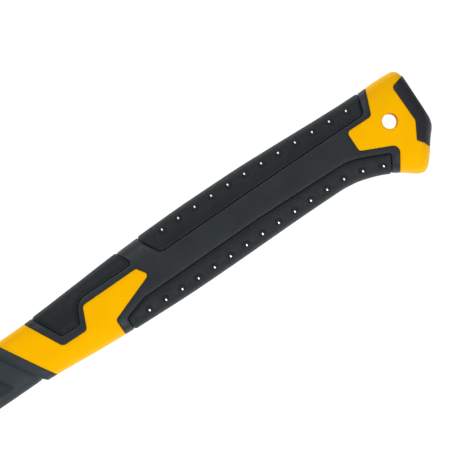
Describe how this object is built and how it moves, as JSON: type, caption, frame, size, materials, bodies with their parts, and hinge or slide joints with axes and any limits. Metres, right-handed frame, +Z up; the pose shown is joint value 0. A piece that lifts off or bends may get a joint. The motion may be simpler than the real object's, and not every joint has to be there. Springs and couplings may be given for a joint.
{
  "type": "pick-head fire axe",
  "caption": "Pick-head fire axe: red forged head with a flared blade and a tapered pick, on a straight yellow and black moulded handle with studded soft pads and a hooked butt.",
  "frame": {"origin": "centre of the bottom of the bounding box: the axe lies flat and its lower cheek is in z = 0", "axes": "+X from the head to the butt along the handle, +Y from the blade to the pick, +Z up from the surface that the axe lies on"},
  "size_m": [0.712, 0.26, 0.032],
  "materials": {
    "painted_head": "red enamel on forged steel, with the cutting edge and the pick's tip ground bright",
    "yellow_plastic": "satin moulded plastic with a fine spark texture",
    "black_plastic": "fine matt texture, charcoal",
    "neck_plastic": "satin, blue-grey charcoal",
    "soft_pad": "soft-touch, fine matt texture",
    "stud_gloss": "polished black",
    "cap_rubber": "soft-touch, smooth matt",
    "guard_rubber": "matt ribbed rubber",
    "seal_rubber": "matt",
    "fibreglass": "pultruded, glass fibres along the rod",
    "epoxy": "cured amber resin"
  },
  "bodies": {
    "root": {"axe_head": "painted_head", "eye_resin": "epoxy", "eye_seal": "seal_rubber", "overstrike_guard": "guard_rubber", "neck_sleeve": "neck_plastic", "fibreglass_rod": "fibreglass", "grip_jacket": "yellow_plastic", "grip_shell": "black_plastic", "thumb_pad": "soft_pad", "back_pad": "soft_pad", "belly_pad": "soft_pad", "back_studs": "stud_gloss", "belly_studs": "stud_gloss", "butt_cap": "cap_rubber"}
  },
  "joints": []
}
